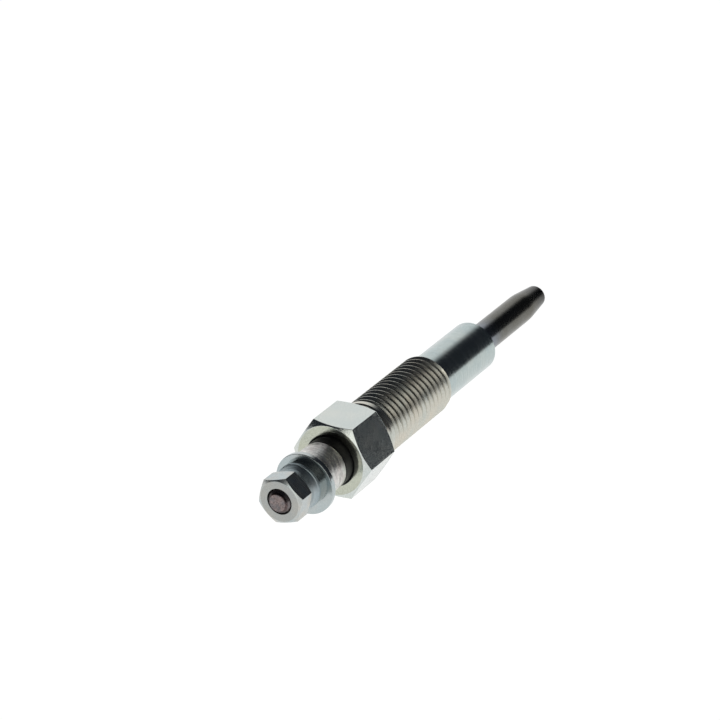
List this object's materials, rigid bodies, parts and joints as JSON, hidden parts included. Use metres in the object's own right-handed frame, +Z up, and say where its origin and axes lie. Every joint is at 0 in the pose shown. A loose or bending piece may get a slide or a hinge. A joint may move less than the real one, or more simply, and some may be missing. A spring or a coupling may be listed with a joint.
{
  "type": "glow plug",
  "caption": "Diesel glow plug: threaded steel housing with a hexagon, plain barrel and slim tapered heater tube, and a screw terminal with nut, washers and insulating bush.",
  "frame": {"origin": "on the plug's axis, where the full thread starts behind the hexagon", "axes": "+X runs from the terminal to the heated tip, dipping by the small angle at which the plug rests on its hexagon and barrel; +Z up; the lower flat of the hexagon faces -Z"},
  "size_m": [0.0846, 0.0138, 0.0124],
  "materials": {
    "zinc_plate": "bright zinc plating, fine grain on the flats",
    "sheath_alloy": "dark satin heat-resistant alloy",
    "coil_wire": "drawn resistance wire",
    "oxide_powder": "compacted white oxide powder",
    "seal_rubber": "matt black elastomer",
    "rod_steel": "turned steel with a brownish tone",
    "bush_resin": "black moulded phenolic resin",
    "collar_plate": "bright turned steel with scratches round it",
    "washer_plate": "bluish zinc plating",
    "nut_plate": "bright zinc plating"
  },
  "bodies": {
    "root": {"housing": "zinc_plate", "heater_sheath": "sheath_alloy", "heating_coil": "coil_wire", "control_coil": "coil_wire", "insulating_powder": "oxide_powder", "sheath_seal": "seal_rubber", "centre_rod": "rod_steel", "o_ring": "seal_rubber", "insulating_bush": "bush_resin", "terminal_collar": "collar_plate", "plain_washer": "washer_plate", "spring_washer": "washer_plate", "terminal_nut": "nut_plate"}
  },
  "joints": []
}
